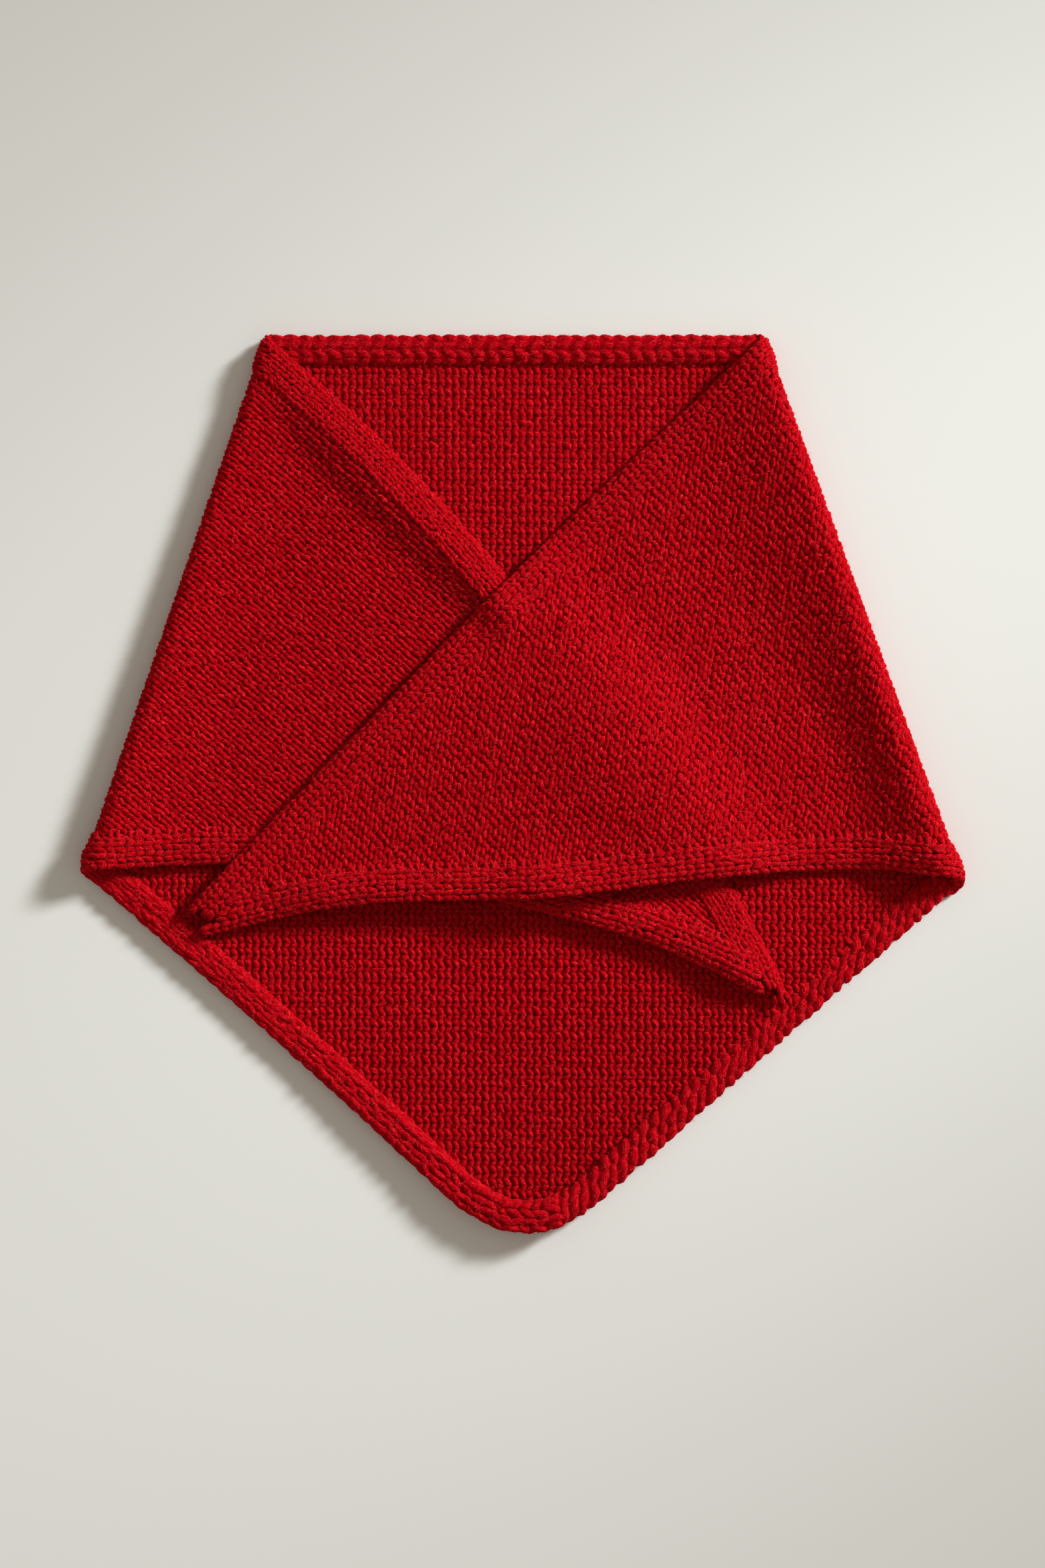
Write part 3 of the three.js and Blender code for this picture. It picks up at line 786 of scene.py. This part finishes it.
def back_shell():
    """Thin shell under the yarn of the back, between the rolls and under the cord edges."""
    rows, inset, off_leg, off_tip, off_corner = 120, 4.0, 5.6, 6, 4
    left_leg, right_leg = LEGS[: TIP + 1], LEGS[TIP:]
    a, b = [], []
    for y in np.linspace(NECK_LEFT[1] - inset, LEGS[TIP, 1] + off_tip, rows):
        if y > SIDE_LEFT[1] + off_corner:
            from_x = beside_roll(left, y)[0]
        else:
            from_x = np.interp(-y, -left_leg[:, 1], left_leg[:, 0]) + off_leg
        if y > SIDE_RIGHT[1] + off_corner:
            to_x = beside_roll(right, y)[0]
        else:
            to_x = np.interp(y, right_leg[:, 1], right_leg[:, 0]) - off_leg
        a.append(mix(from_x, to_x, np.linspace(0, 1, SHELL_COLUMNS)))
        b.append(np.full(SHELL_COLUMNS, y))
    a, b = np.array(a), np.array(b)
    front, _ = back_surface(a, b, np.full(a.shape, HALF_SHELL))
    back, _ = back_surface(a, b, np.full(a.shape, -HALF_SHELL))
    shell = closed_shell("back_ground", front, back, np.stack([a, b], -1), PAINTED_SHADE_WOOL)
    return shell, sheet_area(a, b)


back_ground, back_area = back_shell()

# ---------------------------------------------------------------- cord edges of the back


class TableEdge(CordEdge):
    """A cord edge that lies on the table along a line, its flat underside down: how far
    along it, and the share of the way over it from its inner side to its outer one.

    heights are its own along the line, and yarn how far its yarn's middle is set in.
    """

    STEPS = 400
    CORNER = 1.1  # how far a corner of its section is softened
    LOWEST = 0.35  # middle of the yarn above the table
    PAST_FOLD = 3.0  # its stitches start this far in from the outside of a fold

    def __init__(self, line, heights, yarn):
        self.line, self.length = evenly(line, self.STEPS)
        self.at = np.linspace(0, self.length, self.STEPS)
        tangent = unit(np.gradient(self.line, axis=0))
        self.inward = np.stack([-tangent[:, 1], tangent[:, 0]], -1)
        self.heights, self.yarn = heights, yarn

    def round_over(self, share, height):
        """Up one side of a bar, over its top and down the other, its corners softened:
        inset from the line and height, both to the middle of the yarn."""
        side, top = height - 2 * self.yarn, BACK_EDGE_WIDTH - 2 * self.yarn
        total = top + 2 * side
        inset, rise = 0, 0
        samples = (-1, -0.5, 0, 0.5, 1)
        for sample in samples:
            at = share * total + sample * self.CORNER
            inset = inset + BACK_EDGE_WIDTH - self.yarn - np.clip(at - side, 0, top)
            rise = rise + self.yarn + np.clip(np.minimum(at, total - at), -self.yarn, side)
        return inset / len(samples), rise / len(samples)

    def locate(self, along, share, out):
        height = np.interp(along / self.length, *self.heights)
        inset, rise = self.round_over(share, height)
        step = 0.03
        before, after = (self.round_over(share + k, height) for k in (-step, step))
        turn = unit(np.stack([after[1] - before[1], before[0] - after[0]], -1))
        inset, rise = inset + turn[..., 0] * out, rise + turn[..., 1] * out
        place = [np.interp(along, self.at, self.line[:, k]) for k in (0, 1)]
        inward = [np.interp(along, self.at, self.inward[:, k]) for k in (0, 1)]
        x, y = place[0] + inward[0] * inset, place[1] + inward[1] * inset
        return np.stack([x, y, np.maximum(rise, self.LOWEST)], -1)

    def keep(self, first, last, most=1.0):
        """Where it has stitches: between two places along it, and most of the way over."""

        def kept(along, over):
            x, y, _ = np.moveaxis(self.locate(along, over, 0.0), -1, 0)
            seen = (over > 0) & (over < most) & (along > first) & (along < last)
            for wing in (left, right):
                seen &= inset_from_fold(wing, x, y) > self.PAST_FOLD
            return seen

        return kept

    def core(self, name, first, last, fill):
        """A closed bar inside the yarn, fill outside its middle."""
        sides, steps = 12, 90
        share, along = np.meshgrid(np.linspace(0, 1, sides), np.linspace(first, last, steps))
        front = self.locate(along, share, fill)
        back = mix(front[:, :1], front[:, -1:], share[..., None])
        back[..., 2] = LOWEST_CORE
        return closed_shell(name, front, back, np.stack([along, share * EDGE_WIDTH], -1), FELT)


# Heights of the back's cord edges: the share of the way along, and the height there.
NECK_HEIGHTS = ((0, 1), (5.4, 5.4))
LEFT_LEG_HEIGHTS = ((0, 0.46, 0.74, 0.92, 1.0), (4.6, 5.6, 7.6, 10.0, 10.4))
RIGHT_LEG_HEIGHTS = ((0, 0.08, 0.25, 0.5, 1.0), (9.0, 7.6, 5.6, 4.9, 4.6))

# The two kinds of stitch on the legs meet just past the bottom point, and run on a little
# into each other.
MEET_X, RUN_ON = 14.0, 8
meeting = TIP + int(np.argmax(LEGS[TIP:, 0] > MEET_X))
CORDS = {
    "back_neck_edge": TableEdge(np.array([NECK_RIGHT, NECK_LEFT]), NECK_HEIGHTS, 1.6),
    "back_left_edge": TableEdge(LEGS[: meeting + RUN_ON], LEFT_LEG_HEIGHTS, 1.15),
    "back_right_edge": TableEdge(LEGS[meeting - RUN_ON :], RIGHT_LEG_HEIGHTS, 1.8),
}
CORD_ENDS = {  # how far in from the two ends of its line a cord starts and stops
    "back_neck_edge": (0.5, 0.5),
    "back_left_edge": (5.0, 0.0),
    "back_right_edge": (0.0, 5.0),
}
CORD_FILL = {"back_neck_edge": 1.1, "back_left_edge": 0.3, "back_right_edge": 1.1}
CORD_STITCH = {
    "back_neck_edge": dict(wale=0.5, course=5.3, stitch=vees(0.22, 1.15, 0.25, 0.2), radius=1.6),
    "back_left_edge": dict(wale=0.25, course=5.8, stitch=vees(0.19, 1.4, 0.3, 0.4), radius=1.35),
    "back_right_edge": dict(
        wale=0.36, course=4.9, stitch=strokes(1.3, 0.7, 0.5, 0.3, taper=0.35, tuck=0.35),
        arms=STROKE, radius=1.95,
    ),
}
CORD_SPAN = 120  # more rows than any of them has
SEAM_WIDE = 0.23  # of a leg's cord, as a share of the way over it

for node, cord in CORDS.items():
    start, stop = CORD_ENDS[node]
    first, last = start, cord.length - stop
    yarn = knit(node + "_knit", cord.surface, (0, 0), (1, 0), keep=cord.keep(first, last),
                material=EDGE_WOOL, turns=ROUND, segments=6, wander=0.0, span=CORD_SPAN,
                **CORD_STITCH[node])
    edge_pieces[node] = [yarn, cord.core(node + "_ground", first, last, CORD_FILL[node])]
    if "neck" not in node:
        # small stitches that cross from the back onto the cord
        seam = knit(node + "_seam", cord.surface, (0, -0.01), (1, 0), SEAM_WIDE, 2.9,
                    cord.keep(first, last, SEAM_WIDE), EDGE_WOOL,
                    strokes(1.0, 0.3, 0.5, 0.5, pair=0.12), arms=STROKE, radius=1.05,
                    wander=0.0, span=CORD_SPAN)
        edge_pieces[node].append(seam)

# ---------------------------------------------------------------- loose fibres

FIBRE_LONG, FIBRE_WIDE = 2.1, 0.14  # the longest, and all of them
FACES_UP = 0.05  # they stand on faces whose normal rises at least this much
BAKE_SPAN = 360  # side of the square that their bake map takes in
# The fibres are a lighter red than the yarn: painted sheen on the loose fibres.
FIBRE = wool("wool_fibre_painted_sheen", [(0.35, (0.5, 0.002, 0.008)), (0.65, (0.95, 0.045, 0.055))], shell=True)


def fuzz(name, sources, count):
    """Loose fibres that stand off the yarn: thin curved ribbons from random places on it.

    Their red, lighter than the yarn's, paints the sheen of the fibres.
    """
    starts, outs = [], []
    for obj in sources:
        faces = obj.data.polygons
        centre, normal = np.empty(len(faces) * 3), np.empty(len(faces) * 3)
        faces.foreach_get("center", centre)
        faces.foreach_get("normal", normal)
        starts.append(centre.reshape(-1, 3) / MM)
        outs.append(normal.reshape(-1, 3))
    starts, outs = np.concatenate(starts), np.concatenate(outs)
    pick = rng.choice(np.flatnonzero(outs[:, 2] > FACES_UP), count)
    start, out = starts[pick], outs[pick]

    along = rng.normal(size=(count, 3))
    along = unit(along - out * (along * out).sum(-1, keepdims=True))
    side = np.cross(along, out)
    length = FIBRE_LONG * rng.uniform(0.35, 1, (count, 1))
    curl, stand = rng.uniform(-0.35, 0.35, (count, 1)), rng.uniform(-0.1, 0.4, (count, 1))
    points = []
    for u in (0.0, 0.5, 1.0):
        centre = start + along * length * u + side * length * curl * np.sin(2.6 * u)
        centre = centre + out * length * (0.3 * np.sin(np.pi * u) + stand * u)
        half = side * FIBRE_WIDE / 2 * (1 - 0.5 * u)
        points.append(np.stack([centre - half, centre + half], 1))
    verts = np.concatenate(points, 1).reshape(-1, 3)
    verts[:, 2] = np.maximum(verts[:, 2], LOWEST_FIBRE)
    # six vertices a fibre, in three pairs, and two faces between them
    first = np.arange(count)[:, None] * 6 + np.array([0, 2])
    faces = np.stack([first, first + 1, first + 3, first + 2], -1).reshape(-1, 4)
    place = verts[:, :2] / BAKE_SPAN + 0.5
    return new_object(name, verts, faces, FIBRE, {"OFBake": place})


FIBRES = {
    "left_wing": 6600,
    "right_wing": 9000,
    "back": 6800,
    "back_neck_edge": 1300,
    "back_left_edge": 2200,
    "back_right_edge": 2200,
    "left_wing_neck_edge": 2100,
    "left_wing_hem_edge": 2900,
    "right_wing_neck_edge": 2100,
    "right_wing_hem_edge": 3600,
}
left_fuzz = fuzz("left_wing_fuzz", [left_knit], FIBRES["left_wing"])
right_fuzz = fuzz("right_wing_fuzz", [right_knit], FIBRES["right_wing"])
back_fuzz = fuzz("back_fuzz", [back_knit], FIBRES["back"])
for node, made in edge_pieces.items():
    yarns = [obj for obj in made if "ground" not in obj.name]
    made.append(fuzz(node + "_fuzz", yarns, FIBRES[node]))

# ---------------------------------------------------------------- what stands for what

KNIT = {
    "back_panel": [back_ground, back_knit, back_knit_under, back_fuzz],
    "left_wing": [left_ground, left_knit, left_fuzz],
    "right_wing": [right_ground, right_knit, right_fuzz],
}
for pieces, slot in ((KNIT, "wool_knit"), (edge_pieces, "wool_cord_edge")):
    for node, made in pieces.items():
        for obj in made:
            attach(obj, "root")
            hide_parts(node)

# ---------------------------------------------------------------- the table


def stage_floor():
    half = 12000.0  # far enough for its edge to stay out of sight
    verts = np.array([(-half, -half, 0), (half, -half, 0), (half, half, 0), (-half, half, 0)])
    material = bpy.data.materials.new("pale_floor")
    material.use_nodes = True
    bsdf = material.node_tree.nodes["Principled BSDF"]
    bsdf.inputs["Base Color"].default_value = (0.72, 0.70, 0.655, 1)
    bsdf.inputs["Roughness"].default_value = 0.9
    bsdf.inputs["Specular IOR Level"].default_value = 0.1
    floor = new_object("floor", verts, np.array([[0, 1, 2, 3]]), material)
    return floor


floor = stage_floor()

# ---------------------------------------------------------------- light, camera

# Window light from the right and a little from the top: a soft sun, and a soft spot that
# makes the middle of the table brightest. From here on, all is in metres.
KEY_TURN, KEY_RISE, KEY_FAR = np.radians(34), np.radians(25), 1.8
KEY_COLOUR = (0.9, 0.96, 1.0)
WORLD_COLOUR, WORLD_STRENGTH = (1.0, 0.93, 0.82, 1), 0.4
SUN_STRENGTH, SUN_ANGLE = 2.7, np.radians(11)
SPOT_POWER, SPOT_AIM = 138, (0.034, 0.01, 0)
SPOT_SIZE, SPOT_BLEND, SPOT_RADIUS = np.radians(23), 1.0, 0.17
KEY_WAY = Vector(
    (np.cos(KEY_RISE) * np.cos(KEY_TURN), np.cos(KEY_RISE) * np.sin(KEY_TURN), np.sin(KEY_RISE))
)


def key_light(name, kind, energy, aim):
    light = bpy.data.lights.new(name, kind)
    light.energy = energy
    light.color = KEY_COLOUR
    obj = bpy.data.objects.new(name, light)
    obj.location = Vector(aim) + KEY_WAY * KEY_FAR
    obj.rotation_euler = KEY_WAY.to_track_quat("Z", "Y").to_euler()
    bpy.context.scene.collection.objects.link(obj)
    return light


key_light("window", "SUN", SUN_STRENGTH, (0, 0, 0)).angle = SUN_ANGLE
spot = key_light("window_middle", "SPOT", SPOT_POWER, SPOT_AIM)
spot.spot_size, spot.spot_blend, spot.shadow_soft_size = SPOT_SIZE, SPOT_BLEND, SPOT_RADIUS

world = bpy.data.worlds.new("studio")
world.use_nodes = True
background = world.node_tree.nodes["Background"]
background.inputs["Color"].default_value = WORLD_COLOUR
background.inputs["Strength"].default_value = WORLD_STRENGTH
bpy.context.scene.world = world

FRAME_LONG = 0.5798  # what the picture's long side takes in, at the cloth
CAMERA_FAR = 1.3
LOOKS_AT = Vector((0.0, -0.0005, 0.005))  # straight down
camera = bpy.data.cameras.new("camera")
camera.sensor_width = 36
camera.lens = camera.sensor_width * CAMERA_FAR / FRAME_LONG
camera_obj = bpy.data.objects.new("camera", camera)
camera_obj.location = LOOKS_AT + Vector((0, 0, CAMERA_FAR))
bpy.context.scene.collection.objects.link(camera_obj)
bpy.context.scene.camera = camera_obj
bpy.context.scene.view_settings.view_transform = "Standard"
